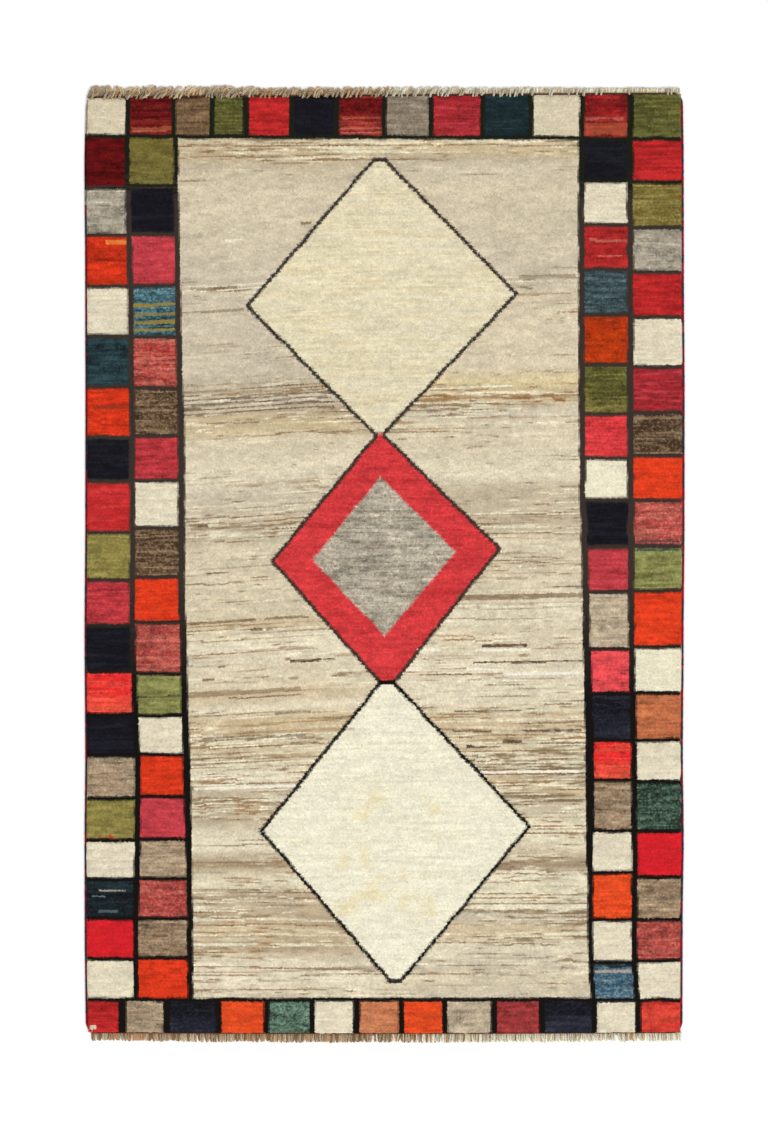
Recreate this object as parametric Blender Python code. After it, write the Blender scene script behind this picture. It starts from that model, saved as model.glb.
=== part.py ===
"""Gabbeh rug lying flat: a knotted body, two overcast side cords and two fringed ends.

Metres, +Z up. The origin is on the floor under the middle of the rug. +Y points to the end with
the longer, curlier fringe, and +X to the right as seen from above.
"""

import math
import random
from collections import namedtuple

import bmesh
import bpy

BODY_WIDTH = 1.218
BODY_LENGTH = 1.921
BODY_THICKNESS = 0.013
RIM_ROUNDING = 0.005
RIM_STEPS = 3
BODY_CELL = 0.075
SHARP_ANGLE = math.radians(40)
TOP_END_TILT = 0.008
BOTTOM_END_BULGE = 0.002
GAP = 0.0003

# The bow is how far a long side stands out from straight at that place up the rug.
SideStation = namedtuple("SideStation", "y left_bow right_bow")
SIDE_STATIONS = (
    SideStation(-0.965, -0.0010, -0.0025),
    SideStation(-0.740, 0.0012, -0.0020),
    SideStation(-0.560, 0.0014, 0.0002),
    SideStation(-0.400, 0.0000, -0.0016),
    SideStation(-0.150, 0.0014, 0.0000),
    SideStation(0.080, 0.0000, 0.0018),
    SideStation(0.350, -0.0004, 0.0020),
    SideStation(0.580, 0.0002, 0.0006),
    SideStation(0.820, 0.0016, 0.0002),
    SideStation(0.965, -0.0010, -0.0015),
)

# The low, slow unevenness of the trimmed pile. Heights are in metres, rates in radians a metre.
SwellWave = namedtuple("SwellWave", "height x_rate y_rate x_phase y_phase")
SWELL_WAVES = (
    SwellWave(0.00036, 7.3, 5.1, 2.1, 0.6),
    SwellWave(0.00024, 17.0, 13.0, 0.0, 1.4),
)

Corner = namedtuple("Corner", "side end radius")
CORNERS = (
    Corner(-1, 1, 0.006),
    Corner(1, 1, 0.013),
    Corner(-1, -1, 0.016),
    Corner(1, -1, 0.010),
)
CORNER_STEPS = 3

Selvedge = namedtuple("Selvedge", "name side diameter")
SELVEDGES = (
    Selvedge("selvedge_left", -1, 0.0044),
    Selvedge("selvedge_right", 1, 0.0064),
)
SELVEDGE_POINT_SPACING = 0.025
SELVEDGE_END_INSET = 0.018
SELVEDGE_RESOLUTION = 2

# Lengths run from the body's end edge to the tips, at the left, middle and right of the rug.
# The insets are how far the strip's two ends stop short of the body's sides.
Fringe = namedtuple(
    "Fringe",
    "name end left_length middle_length right_length left_inset right_inset curl seed",
)
FRINGES = (
    Fringe("fringe_top", 1, 0.0240, 0.0185, 0.0165, 0.001, 0.005, 0.0016, 11),
    Fringe("fringe_bottom", -1, 0.0180, 0.0195, 0.0170, 0.009, 0.004, 0.0008, 23),
)
STRANDS_PER_END = 130
STRAND_ROOT_WIDTH = 0.0054
STRAND_LENGTH_SPREAD = 0.0018
STRIP_WIDTH = 0.005
STRIP_THICKNESS = 0.0032

# How far along its length a strand's section lies, and its width and thickness there as shares.
StrandSection = namedtuple("StrandSection", "along width thickness")
STRAND_SECTIONS = (
    StrandSection(0.5, 0.95, 0.92),
    StrandSection(1.0, 0.62, 0.66),
)

Finish = namedtuple("Finish", "colour roughness")
FINISHES = {
    "rug_body": Finish((0.53, 0.44, 0.34), 0.95),
    "selvedge_left": Finish((0.42, 0.03, 0.06), 0.9),
    "selvedge_right": Finish((0.42, 0.03, 0.06), 0.9),
    "fringe_top": Finish((0.42, 0.30, 0.19), 0.9),
    "fringe_bottom": Finish((0.50, 0.38, 0.26), 0.9),
}


def clear_scene():
    for obj in list(bpy.data.objects):
        bpy.data.objects.remove(obj, do_unlink=True)


def smooth_step(t):
    return t * t * (3 - 2 * t)


def side_bow(side, y):
    """How far the side bows out at y, eased from station to station."""
    y = min(max(y, SIDE_STATIONS[0].y), SIDE_STATIONS[-1].y)
    for low, high in zip(SIDE_STATIONS, SIDE_STATIONS[1:]):
        if y <= high.y:
            break
    t = smooth_step((y - low.y) / (high.y - low.y))
    if side < 0:
        return low.left_bow + (high.left_bow - low.left_bow) * t
    return low.right_bow + (high.right_bow - low.right_bow) * t


def side_x(side, y):
    return side * (BODY_WIDTH / 2 + side_bow(side, y))


def end_y(end, x):
    """Where the body ends at x: the top edge rises to the right, the bottom one bulges."""
    across = 2 * x / BODY_WIDTH
    if end > 0:
        return BODY_LENGTH / 2 + TOP_END_TILT / 2 * across
    return -BODY_LENGTH / 2 - BOTTOM_END_BULGE * (0.5 - across * across)


def swell(x, y):
    return sum(
        wave.height * math.sin(wave.x_rate * x + wave.x_phase) * math.sin(wave.y_rate * y + wave.y_phase)
        for wave in SWELL_WAVES
    )


def add_object(name, mesh, collection):
    finish = FINISHES[name]
    material = bpy.data.materials.new(name + "_wool")
    material.use_nodes = True
    shader = material.node_tree.nodes["Principled BSDF"]
    shader.inputs["Base Color"].default_value = (*finish.colour, 1)
    shader.inputs["Roughness"].default_value = finish.roughness
    shader.inputs["Metallic"].default_value = 0
    mesh.materials.append(material)
    collection.objects.link(bpy.data.objects.new(name, mesh))


def mesh_from(bm, name):
    bmesh.ops.recalc_face_normals(bm, faces=bm.faces)
    mesh = bpy.data.meshes.new(name)
    bm.to_mesh(mesh)
    bm.free()
    return mesh


def extruded_up(bm, height):
    """Makes the flat grid in bm a closed slab and returns its upper vertices."""
    made = bmesh.ops.extrude_face_region(bm, geom=list(bm.faces))
    upper = [item for item in made["geom"] if isinstance(item, bmesh.types.BMVert)]
    bmesh.ops.translate(bm, verts=upper, vec=(0, 0, height))
    return upper


def at_corner(edge, corner):
    """Whether this upright edge is the body's corner on that side and end."""
    low, high = edge.verts
    upright = abs(low.co.z - high.co.z) > BODY_THICKNESS / 2
    near_side = abs(low.co.x - side_x(corner.side, low.co.y)) < GAP
    near_end = abs(low.co.y - end_y(corner.end, low.co.x)) < GAP
    return upright and near_side and near_end


def is_top_rim(edge):
    """Whether this edge lies between the top and an upright side wall."""
    raised = all(vert.co.z > BODY_THICKNESS / 2 for vert in edge.verts)
    walls = [face for face in edge.link_faces if abs(face.normal.z) < 0.5]
    return raised and len(walls) == 1


def make_body(collection):
    bm = bmesh.new()
    columns = round(BODY_WIDTH / BODY_CELL)
    rows = round(BODY_LENGTH / BODY_CELL)
    bmesh.ops.create_grid(bm, x_segments=columns, y_segments=rows, size=1)
    for vert in bm.verts:
        across, along = vert.co.x, vert.co.y
        straight_x = across * BODY_WIDTH / 2
        y = end_y(1, straight_x) * (1 + along) / 2 + end_y(-1, straight_x) * (1 - along) / 2
        x = side_x(1, y) * (1 + across) / 2 + side_x(-1, y) * (1 - across) / 2
        vert.co = (x, y, 0)
    upper = extruded_up(bm, BODY_THICKNESS)
    for vert in upper:
        vert.co.z += swell(vert.co.x, vert.co.y)
    for corner in CORNERS:
        edges = [edge for edge in bm.edges if at_corner(edge, corner)]
        bmesh.ops.bevel(
            bm, geom=edges, offset=corner.radius, segments=CORNER_STEPS, profile=0.5,
            affect="EDGES", clamp_overlap=True,
        )
    bmesh.ops.recalc_face_normals(bm, faces=bm.faces)
    rim = [edge for edge in bm.edges if is_top_rim(edge)]
    bmesh.ops.bevel(
        bm, geom=rim, offset=RIM_ROUNDING, segments=RIM_STEPS, profile=0.5,
        affect="EDGES", clamp_overlap=True,
    )
    under = [face for face in bm.faces if face.normal.z < -0.99]
    bmesh.ops.dissolve_faces(bm, faces=under, use_verts=False)
    mesh = mesh_from(bm, "rug_body")
    mesh.shade_smooth()
    mesh.set_sharp_from_angle(angle=SHARP_ANGLE)
    add_object("rug_body", mesh, collection)


def make_selvedge(selvedge, collection):
    radius = selvedge.diameter / 2
    low_y = end_y(-1, selvedge.side * BODY_WIDTH / 2) + SELVEDGE_END_INSET
    high_y = end_y(1, selvedge.side * BODY_WIDTH / 2) - SELVEDGE_END_INSET
    steps = round((high_y - low_y) / SELVEDGE_POINT_SPACING)
    curve = bpy.data.curves.new(selvedge.name, "CURVE")
    curve.dimensions = "3D"
    curve.bevel_depth = radius
    curve.bevel_resolution = SELVEDGE_RESOLUTION
    curve.use_fill_caps = True
    spline = curve.splines.new("POLY")
    spline.points.add(steps)
    for step, point in enumerate(spline.points):
        y = low_y + (high_y - low_y) * step / steps
        x = side_x(selvedge.side, y) + selvedge.side * (GAP + radius)
        point.co = (x, y, radius, 1)
    add_object(selvedge.name, curve, collection)


def fringe_length(fringe, across):
    """The length at a place from -1, left, to 1, right."""
    if across < 0:
        t = smooth_step(across + 1)
        return fringe.left_length + (fringe.middle_length - fringe.left_length) * t
    t = smooth_step(across)
    return fringe.middle_length + (fringe.right_length - fringe.middle_length) * t


def strip_stations(fringe):
    """The x of each strand's two edges, from left to right, between the strip's two ends."""
    left = fringe.left_inset - BODY_WIDTH / 2
    right = BODY_WIDTH / 2 - fringe.right_inset
    pitch = (right - left) / STRANDS_PER_END
    stations = [left]
    for index in range(STRANDS_PER_END):
        centre = left + (index + 0.5) * pitch
        stations += [centre - STRAND_ROOT_WIDTH / 2, centre + STRAND_ROOT_WIDTH / 2]
    return stations + [right]


def push_out(face, x, y, width, thickness):
    """Moves a strand's end face to a new place, with its lower edge on the floor."""
    middle = face.calc_center_median()
    for vert in face.verts:
        side = 1 if vert.co.x > middle.x else -1
        top = thickness if vert.co.z > middle.z else 0
        vert.co = (x + side * width / 2, y, top)


def grow_strand(bm, root, fringe, rng):
    """One warp end: a tapering four-sided yarn that lies on the floor."""
    start = root.calc_center_median()
    length = fringe_length(fringe, 2 * start.x / BODY_WIDTH) - STRIP_WIDTH - GAP
    length -= rng.uniform(0, STRAND_LENGTH_SPREAD)
    drift = rng.uniform(-fringe.curl, fringe.curl)
    bend = rng.uniform(-fringe.curl, fringe.curl) / 2
    face = root
    for section in STRAND_SECTIONS:
        face = bmesh.ops.extrude_discrete_faces(bm, faces=[face])["faces"][0]
        x = start.x + drift * section.along + bend * math.sin(math.pi * section.along)
        y = start.y + fringe.end * length * section.along
        push_out(face, x, y, STRAND_ROOT_WIDTH * section.width, STRIP_THICKNESS * section.thickness)


def make_fringe(fringe, collection):
    rng = random.Random(fringe.seed)
    stations = strip_stations(fringe)
    bm = bmesh.new()
    bmesh.ops.create_grid(bm, x_segments=len(stations) - 1, y_segments=1, size=1)
    for vert in bm.verts:
        x = stations[round((vert.co.x + 1) / 2 * (len(stations) - 1))]
        out = GAP + (STRIP_WIDTH if vert.co.y * fringe.end > 0 else 0)
        vert.co = (x, end_y(fringe.end, x) + fringe.end * out, 0)
    extruded_up(bm, STRIP_THICKNESS)
    bmesh.ops.recalc_face_normals(bm, faces=bm.faces)
    bm.faces.ensure_lookup_table()
    outer = [face for face in bm.faces if face.normal.y * fringe.end > 0.9]
    outer.sort(key=lambda face: face.calc_center_median().x)
    for root in outer[1::2]:
        grow_strand(bm, root, fringe, rng)
    add_object(fringe.name, mesh_from(bm, fringe.name), collection)


def main():
    clear_scene()
    collection = bpy.data.collections.new("gabbeh_rug")
    bpy.context.scene.collection.children.link(collection)
    make_body(collection)
    for selvedge in SELVEDGES:
        make_selvedge(selvedge, collection)
    for fringe in FRINGES:
        make_fringe(fringe, collection)


main()
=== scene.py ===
"""Looks of the gabbeh rug: wool pile on its woven sheet, overcast sides and fringed ends."""

import math
from collections import namedtuple

import bpy
import numpy as np
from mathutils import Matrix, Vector


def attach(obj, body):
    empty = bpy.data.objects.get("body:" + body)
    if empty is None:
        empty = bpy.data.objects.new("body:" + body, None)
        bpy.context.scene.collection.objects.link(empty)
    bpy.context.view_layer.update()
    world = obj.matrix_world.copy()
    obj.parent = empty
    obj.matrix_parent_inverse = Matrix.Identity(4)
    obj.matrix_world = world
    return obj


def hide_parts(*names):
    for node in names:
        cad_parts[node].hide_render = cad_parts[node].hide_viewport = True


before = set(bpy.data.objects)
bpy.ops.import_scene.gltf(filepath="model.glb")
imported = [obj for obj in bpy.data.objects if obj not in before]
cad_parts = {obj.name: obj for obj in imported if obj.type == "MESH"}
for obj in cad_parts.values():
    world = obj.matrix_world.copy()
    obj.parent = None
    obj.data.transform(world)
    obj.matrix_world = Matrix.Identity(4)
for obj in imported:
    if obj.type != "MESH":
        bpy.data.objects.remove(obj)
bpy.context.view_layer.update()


def table(columns, *rows):
    """Rows whose columns have these names."""
    row_kind = namedtuple("Row", columns)
    return tuple(row_kind(*row) for row in rows)


# Chart of the rug. Sizes and places are in metres, with the rug's middle at 0, 0.

HALF_WIDTH = 0.609
TOP_Y = 0.9605
BOTTOM_Y = -0.9605
TUFT_COLUMNS = 344
TUFT_ROWS = 656
ROW_PITCH = (TOP_Y - BOTTOM_Y) / TUFT_ROWS

# Dyed and undyed wools, as 8-bit sRGB.
WOOLS = dict(
    black=(20, 17, 14),
    green_black=(27, 30, 20),
    charcoal=(60, 50, 44),
    navy=(20, 19, 26),
    slate_navy=(56, 57, 72),
    deep_petrol=(26, 40, 44),
    petrol=(44, 66, 70),
    teal=(34, 80, 90),
    steel=(50, 82, 102),
    dark_steel=(48, 66, 70),
    pale_steel=(134, 156, 160),
    bottle=(38, 54, 44),
    sea=(108, 136, 116),
    olive=(136, 126, 66),
    green_olive=(142, 142, 86),
    moss=(84, 82, 40),
    pale_moss=(120, 120, 64),
    mustard=(160, 146, 84),
    ochre=(154, 134, 58),
    brown_olive=(110, 98, 46),
    black_madder=(62, 8, 12),
    madder=(100, 15, 17),
    brick=(166, 62, 52),
    dark_red=(140, 26, 28),
    garnet=(160, 41, 39),
    red=(192, 43, 43),
    scarlet=(213, 33, 43),
    bright_red=(224, 44, 46),
    flame=(212, 74, 56),
    pale_flame=(228, 96, 70),
    crimson=(158, 24, 48),
    deep_raspberry=(155, 39, 44),
    raspberry=(196, 67, 75),
    plum=(190, 61, 67),
    rosewood=(160, 62, 61),
    rose=(164, 66, 60),
    pale_rose=(208, 130, 112),
    coral=(213, 64, 67),
    pale_coral=(224, 82, 86),
    orange=(212, 56, 27),
    light_orange=(224, 66, 32),
    deep_orange=(150, 34, 18),
    bright_orange=(225, 81, 36),
    yellow=(236, 156, 70),
    rust=(172, 57, 14),
    terracotta=(186, 104, 66),
    pale_terracotta=(202, 132, 91),
    coffee=(76, 56, 38),
    brown_taupe=(126, 100, 72),
    taupe=(140, 116, 90),
    light_taupe=(176, 156, 129),
    pale_taupe=(192, 176, 150),
    brown_silver=(136, 121, 103),
    silver=(158, 149, 131),
    pale_silver=(187, 179, 161),
    grey_taupe=(128, 113, 92),
    aged_cream=(217, 205, 178),
    cream=(227, 218, 193),
    buff_cream=(212, 196, 166),
    pale_cream=(236, 229, 202),
    ivory=(228, 219, 190),
    honey=(220, 202, 158),
    white=(240, 235, 212),
    bleached=(247, 242, 226),
    stain=(230, 214, 160),
    greige=(206, 194, 171),
    stone=(198, 184, 157),
    buff=(216, 203, 175),
    pale_buff=(226, 215, 189),
    straw=(204, 184, 146),
    flax=(208, 189, 155),
    tan=(188, 169, 140),
    umber=(166, 144, 114),
    camel=(182, 140, 98),
    sienna=(152, 108, 58),
    brown=(132, 106, 72),
    dark_brown=(88, 64, 42),
)

# A square's main wool and the wool mixed into it: in rows, in single knots, taking over towards
# the bottom, and in a number of full stripes. Texture is how mottled it looks. The last four are
# the lozenges' own.
Square = namedtuple(
    "Square", "wool other rows flecks texture fade stripes stripe_share", defaults=(0.0, 0, 0.75),
)
SQUARES = dict(
    cream=("cream", "buff_cream", 0.3, 0.08, 0.16),
    aged_cream=("aged_cream", "buff_cream", 0.4, 0.1, 0.16),
    pale_cream=("pale_cream", "cream", 0.4, 0.1, 0.12),
    madder=("madder", "black_madder", 0.45, 0.1, 0.6),
    madder_to_brick=("dark_red", "brick", 0.3, 0.15, 0.6, 0.55),
    dark_madder=("madder", "brick", 0.2, 0.1, 0.6, 0.2),
    madder_banded=("madder", "brick", 0.8, 0.15, 0.6, 0.45),
    taupe=("taupe", "light_taupe", 0.5, 0.3, 0.6),
    brown_taupe=("brown_taupe", "coffee", 0.6, 0.25, 0.6),
    dark_taupe=("coffee", "taupe", 0.8, 0.6, 0.55),
    light_taupe=("light_taupe", "brown_taupe", 0.45, 0.25, 0.5),
    pale_taupe=("pale_taupe", "light_taupe", 0.35, 0.25, 0.45),
    moss=("moss", "pale_moss", 0.5, 0.3, 0.5),
    olive=("olive", "mustard", 0.5, 0.35, 0.4),
    aged_olive=("brown_olive", "mustard", 0.5, 0.35, 0.35),
    green_olive=("green_olive", "pale_moss", 0.45, 0.35, 0.5),
    brown_olive=("brown_olive", "green_olive", 0.2, 0.1, 0.4, 0.1),
    dark_olive=("moss", "olive", 0.5, 0.2, 0.6, 0.3),
    red=("red", "dark_red", 0.5, 0.15, 0.35),
    light_red=("red", "coral", 0.4, 0.2, 0.3),
    red_pink_stripes=("garnet", "red", 0.6, 0.2, 0.5, 0.2),
    scarlet=("scarlet", "red", 0.3, 0.15, 0.2),
    flame=("flame", "scarlet", 0.5, 0.2, 0.4),
    bright_to_flame=("bright_red", "pale_flame", 0.4, 0.1, 0.4, 0.5),
    navy=("navy", "slate_navy", 0.15, 0.08, 0.3),
    slate_navy=("navy", "slate_navy", 0.35, 0.25, 0.4, 0.3),
    navy_streaked=("navy", "petrol", 0.45, 0.2, 0.4, 0.1),
    petrol=("petrol", "deep_petrol", 0.6, 0.2, 0.7),
    deep_petrol=("deep_petrol", "petrol", 0.6, 0.2, 0.45),
    teal=("teal", "pale_steel", 0.25, 0.35, 0.6),
    steel=("steel", "pale_steel", 0.25, 0.42, 0.5),
    dark_steel=("dark_steel", "pale_steel", 0.2, 0.15, 0.5),
    bottle=("bottle", "sea", 0.3, 0.42, 0.6),
    pale_bottle=("sea", "bottle", 0.3, 0.6, 0.6),
    silver=("silver", "pale_silver", 0.5, 0.4, 0.5),
    brown_silver=("brown_silver", "silver", 0.6, 0.3, 0.45),
    raspberry=("raspberry", "deep_raspberry", 0.35, 0.15, 0.3),
    deep_raspberry=("deep_raspberry", "raspberry", 0.6, 0.15, 0.4),
    raspberry_banded=("garnet", "pale_rose", 0.3, 0.25, 0.6, 0.1, 2, 0.15),
    rose=("rose", "pale_rose", 0.3, 0.32, 0.55),
    plum=("plum", "deep_raspberry", 0.5, 0.2, 0.45),
    rosewood=("rosewood", "deep_raspberry", 0.6, 0.2, 0.5),
    coral=("coral", "red", 0.4, 0.2, 0.4),
    pale_coral=("pale_coral", "coral", 0.5, 0.2, 0.45),
    orange=("orange", "light_orange", 0.5, 0.4, 0.3),
    light_orange=("light_orange", "orange", 0.5, 0.15, 0.3),
    orange_streaked=("orange", "deep_orange", 0.45, 0.1, 0.35),
    bright_orange=("bright_orange", "orange", 0.4, 0.15, 0.3),
    rust=("rust", "orange", 0.3, 0.2, 0.45),
    terracotta=("terracotta", "pale_terracotta", 0.4, 0.3, 0.4),
    pale_terracotta=("pale_terracotta", "terracotta", 0.5, 0.2, 0.35),
    upper=("ivory", "honey", 0.5, 0.08, 0.16),
    middle=("coral", "red", 0.3, 0.3, 0.3),
    heart=("pale_silver", "grey_taupe", 0.38, 0.38, 0.5),
    lower=("white", "ivory", 0.45, 0.1, 0.12),
)

# The squares along each end, from left to right, each with the width of the dark line after it.
TOP_SQUARES = table(
    "square width line",
    ("aged_cream", 0.083, 0.01),
    ("dark_madder", 0.095, 0.009),
    ("brown_taupe", 0.078, 0.009),
    ("moss", 0.07, 0.012),
    ("red", 0.093, 0.01),
    ("navy", 0.094, 0.01),
    ("madder_banded", 0.096, 0.01),
    ("brown_silver", 0.096, 0.01),
    ("deep_raspberry", 0.106, 0.009),
    ("deep_petrol", 0.099, 0.01),
    ("aged_cream", 0.105, 0.01),
    ("madder_to_brick", 0.099, 0.012),
    ("moss", 0.11, 0.01),
)
BOTTOM_SQUARES = table(
    "square width line",
    ("red", 0.073, 0.016),
    ("light_taupe", 0.09, 0.014),
    ("slate_navy", 0.107, 0.011),
    ("bright_orange", 0.098, 0.011),
    ("pale_bottle", 0.094, 0.011),
    ("cream", 0.09, 0.014),
    ("pale_terracotta", 0.092, 0.011),
    ("bright_orange", 0.09, 0.011),
    ("pale_taupe", 0.101, 0.012),
    ("rosewood", 0.098, 0.012),
    ("slate_navy", 0.107, 0.012),
    ("cream", 0.09, 0.012),
    ("flame", 0.09, 0.01),
)

# The two columns down each side, from the top. The step is how much lower the line under the
# outer square lies than the line under the inner one.
LEFT_ROWS = table(
    "height step outer inner",
    (0.104, 0.004, "madder", "brown_olive"),
    (0.098, 0.002, "silver", "navy"),
    (0.105, 0.002, "orange_streaked", "raspberry"),
    (0.104, -0.002, "cream", "teal"),
    (0.104, -0.002, "petrol", "raspberry_banded"),
    (0.101, 0.002, "orange_streaked", "dark_taupe"),
    (0.091, 0.002, "navy", "plum"),
    (0.101, 0.01, "light_red", "cream"),
    (0.099, 0.006, "olive", "dark_taupe"),
    (0.093, 0.006, "plum", "orange"),
    (0.1, -0.004, "navy", "rose"),
    (0.087, -0.002, "bright_to_flame", "green_olive"),
    (0.082, 0.002, "navy", "cream"),
    (0.087, 0.004, "light_taupe", "orange"),
    (0.087, 0.002, "olive", "raspberry"),
    (0.08, 0.002, "cream", "light_taupe"),
    (0.081, 0.0, "navy_streaked", "rose"),
    (0.082, 0.002, "scarlet", "taupe"),
    (0.085, 0.0, "cream", "orange"),
)
RIGHT_ROWS = table(
    "height step outer inner",
    (0.088, 0.002, "red", "navy"),
    (0.091, 0.006, "aged_olive", "cream"),
    (0.091, 0.005, "silver", "red_pink_stripes"),
    (0.093, 0.005, "red", "dark_steel"),
    (0.102, 0.005, "cream", "rust"),
    (0.097, -0.003, "deep_raspberry", "dark_olive"),
    (0.09, -0.006, "dark_taupe", "coral"),
    (0.088, 0.002, "light_orange", "pale_cream"),
    (0.096, -0.002, "rose", "navy"),
    (0.091, -0.003, "green_olive", "raspberry"),
    (0.116, -0.004, "light_orange", "pale_taupe"),
    (0.093, 0.0, "pale_cream", "pale_coral"),
    (0.096, 0.0, "terracotta", "slate_navy"),
    (0.083, 0.003, "cream", "bright_to_flame"),
    (0.103, 0.0, "bottle", "taupe"),
    (0.09, 0.009, "scarlet", "cream"),
    (0.092, 0.0, "taupe", "bright_orange"),
    (0.085, -0.003, "rose", "cream"),
    (0.079, 0.0, "cream", "steel"),
)

# The dark upright lines: where each one runs and how wide it is at that place.
LEFT_DIVIDER = table(
    "y x width",
    (0.931, -0.528, 0.01),
    (0.746, -0.526, 0.01),
    (0.619, -0.521, 0.011),
    (0.254, -0.516, 0.011),
    (-0.115, -0.516, 0.011),
    (-0.279, -0.511, 0.012),
    (-0.402, -0.505, 0.012),
    (-0.648, -0.506, 0.012),
    (-0.73, -0.509, 0.01),
    (-0.894, -0.509, 0.01),
)
FIELD_LEFT = table(
    "y x width",
    (0.869, -0.427, 0.009),
    (0.685, -0.425, 0.01),
    (0.521, -0.422, 0.011),
    (0.336, -0.418, 0.012),
    (0.254, -0.415, 0.014),
    (-0.074, -0.415, 0.014),
    (-0.156, -0.411, 0.013),
    (-0.32, -0.408, 0.014),
    (-0.443, -0.404, 0.015),
    (-0.607, -0.4, 0.012),
    (-0.894, -0.397, 0.011),
)
FIELD_RIGHT = table(
    "y x width",
    (0.869, 0.405, 0.012),
    (0.336, 0.405, 0.012),
    (0.131, 0.408, 0.012),
    (-0.074, 0.414, 0.014),
    (-0.258, 0.418, 0.016),
    (-0.361, 0.422, 0.018),
    (-0.545, 0.422, 0.016),
    (-0.648, 0.423, 0.011),
    (-0.812, 0.424, 0.01),
    (-0.894, 0.429, 0.01),
)
RIGHT_DIVIDER = table(
    "y x width",
    (0.931, 0.504, 0.012),
    (0.131, 0.506, 0.013),
    (-0.176, 0.508, 0.012),
    (-0.361, 0.513, 0.012),
    (-0.812, 0.514, 0.012),
    (-0.955, 0.522, 0.011),
)
TOP_LINE_LEFT_Y = 0.878
TOP_LINE_RIGHT_Y = 0.873
BOTTOM_LINE_Y = -0.893
CROSS_LINE_WIDTH = 0.0075
LINE_BLUR = 0.0032
KNOT_STEP = 0.0044
LINE_DARKNESS = 2.4

# The wool of the dark lines, from the top down.
LINE_WOOLS = table(
    "y wool",
    (0.79, "green_black"),
    (0.75, "charcoal"),
    (-0.02, "charcoal"),
    (-0.26, "black"),
)

# Corners run round each lozenge. The outline is centred on its edge, and is left out in a small
# opening where the upper and middle lozenges touch.
OPENING_X = -0.0085
OPENING_Y = 0.2635
OPENING_HALF_WIDTH = 0.0045
OPENING_HALF_HEIGHT = 0.0068
LOZENGES = table(
    "square line line_width corners",
    ("upper", "charcoal", 0.0062, (
        (-0.0205, 0.830), (0.002, 0.830), (0.271, 0.5545),
        (-0.006, 0.262), (-0.014, 0.262), (-0.280, 0.530),
    )),
    ("middle", "charcoal", 0.0062, (
        (-0.013, 0.2665), (-0.003, 0.2665), (0.237, 0.033),
        (0.0205, -0.242), (-0.008, -0.242), (-0.229, 0.007),
    )),
    ("heart", None, 0.0, (
        (-0.0076, 0.180), (0.147, 0.0255), (0.001, -0.146), (-0.146, 0.009),
    )),
    ("lower", "black", 0.0062, (
        (-0.008, -0.243), (0.0205, -0.243), (0.298, -0.537),
        (0.035, -0.855), (0.0135, -0.855), (-0.252, -0.547),
    )),
)

# The undyed field from the top down: its tones at the left and right, and how strongly lighter and
# darker rows show there.
FIELD_TONES = table(
    "y left right streaks",
    (0.885, "buff", "buff", 0.5),
    (0.85, "straw", "straw", 0.9),
    (0.82, "stone", "greige", 0.4),
    (0.767, "buff", "buff", 0.15),
    (0.61, "greige", "greige", 0.2),
    (0.582, "greige", "greige", 0.6),
    (0.541, "greige", "buff", 0.3),
    (0.4, "greige", "buff", 0.25),
    (0.372, "stone", "honey", 0.5),
    (0.345, "greige", "straw", 0.65),
    (0.312, "tan", "greige", 0.8),
    (0.29, "straw", "buff", 0.6),
    (0.265, "buff", "buff", 0.35),
    (0.178, "pale_buff", "pale_buff", 0.45),
    (0.15, "greige", "stone", 0.5),
    (0.07, "stone", "stone", 0.6),
    (0.045, "buff", "buff", 0.35),
    (-0.035, "buff", "buff", 0.5),
    (-0.055, "buff", "buff", 0.5),
    (-0.094, "buff", "pale_buff", 0.3),
    (-0.115, "flax", "pale_buff", 0.5),
    (-0.14, "pale_buff", "buff", 0.6),
    (-0.238, "buff", "pale_buff", 0.5),
    (-0.258, "flax", "pale_buff", 0.4),
    (-0.285, "pale_buff", "pale_buff", 0.4),
    (-0.314, "straw", "flax", 1.0),
    (-0.402, "buff", "flax", 1.1),
    (-0.43, "pale_buff", "tan", 1.0),
    (-0.463, "stone", "straw", 1.0),
    (-0.484, "greige", "stone", 0.9),
    (-0.504, "stone", "stone", 1.0),
    (-0.525, "stone", "ivory", 0.6),
    (-0.562, "pale_buff", "ivory", 0.6),
    (-0.582, "pale_buff", "buff", 0.6),
    (-0.617, "umber", "umber", 0.7),
    (-0.634, "buff", "pale_buff", 0.7),
    (-0.656, "ivory", "ivory", 0.7),
    (-0.68, "tan", "ivory", 0.9),
    (-0.725, "tan", "greige", 1.0),
    (-0.752, "flax", "flax", 1.0),
    (-0.79, "tan", "pale_buff", 0.9),
    (-0.82, "pale_buff", "greige", 0.7),
    (-0.853, "pale_buff", "buff", 0.7),
    (-0.895, "buff", "greige", 0.3),
)

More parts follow.
